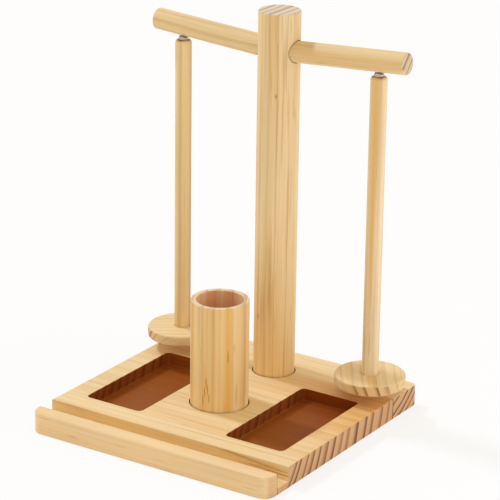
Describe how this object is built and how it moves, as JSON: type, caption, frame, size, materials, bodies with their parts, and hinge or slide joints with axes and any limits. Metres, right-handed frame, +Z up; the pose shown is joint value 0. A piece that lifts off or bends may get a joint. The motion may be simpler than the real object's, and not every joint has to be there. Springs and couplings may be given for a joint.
{
  "type": "yarn holder",
  "caption": "Pine yarn holder: a round post with rising arms, hanging spindles that spin on magnets, a lift-out needle cup, trays and a slot behind the front lip.",
  "frame": {"origin": "middle of the board's underside, on the surface that it stands on", "axes": "+Z up along the post, -Y to the front lip, +X to the right seen from the front"},
  "size_m": [0.268, 0.25, 0.36],
  "materials": {
    "pine_board": "satin clear coat",
    "pine_dowel": "satin clear coat",
    "pine_cup": "satin clear coat",
    "pine_disc": "satin clear coat",
    "zinc_steel": "zinc plated",
    "bright_steel": "polished",
    "nickel": "nickel plated"
  },
  "bodies": {
    "stand": {"front_lip": "pine_board", "base_board": "pine_board", "rear_stave": "pine_board", "post": "pine_dowel", "post_screw": "zinc_steel", "left_arm": "pine_dowel", "right_arm": "pine_dowel", "left_arm_stud": "zinc_steel", "right_arm_stud": "zinc_steel", "left_magnet": "nickel", "right_magnet": "nickel"},
    "left_hanger": {"left_pivot": "bright_steel"},
    "left_spindle": {"left_rod": "pine_dowel", "left_disc": "pine_disc", "left_disc_screw": "zinc_steel"},
    "right_hanger": {"right_pivot": "bright_steel"},
    "right_spindle": {"right_rod": "pine_dowel", "right_disc": "pine_disc", "right_disc_screw": "zinc_steel"},
    "cup": {"needle_cup": "pine_cup"}
  },
  "joints": [
    {"name": "left_swing", "type": "hinge", "parent": "stand", "child": "left_hanger", "pos_m": [-0.102, 0.078, 0.32182], "axis": [1, 0, 0], "range_deg": [-10, 10]},
    {"name": "left_spin", "type": "hinge", "parent": "left_hanger", "child": "left_spindle", "pos_m": [-0.102, 0.078, 0.32182], "axis": [0, 0, 1], "continuous": true},
    {"name": "right_swing", "type": "hinge", "parent": "stand", "child": "right_hanger", "pos_m": [0.102, 0.078, 0.32182], "axis": [1, 0, 0], "range_deg": [-10, 10]},
    {"name": "right_spin", "type": "hinge", "parent": "right_hanger", "child": "right_spindle", "pos_m": [0.102, 0.078, 0.32182], "axis": [0, 0, 1], "continuous": true},
    {"name": "cup_lift", "type": "slide", "parent": "stand", "child": "cup", "axis": [0, 0, 1], "range_m": [0, 0.06]}
  ]
}
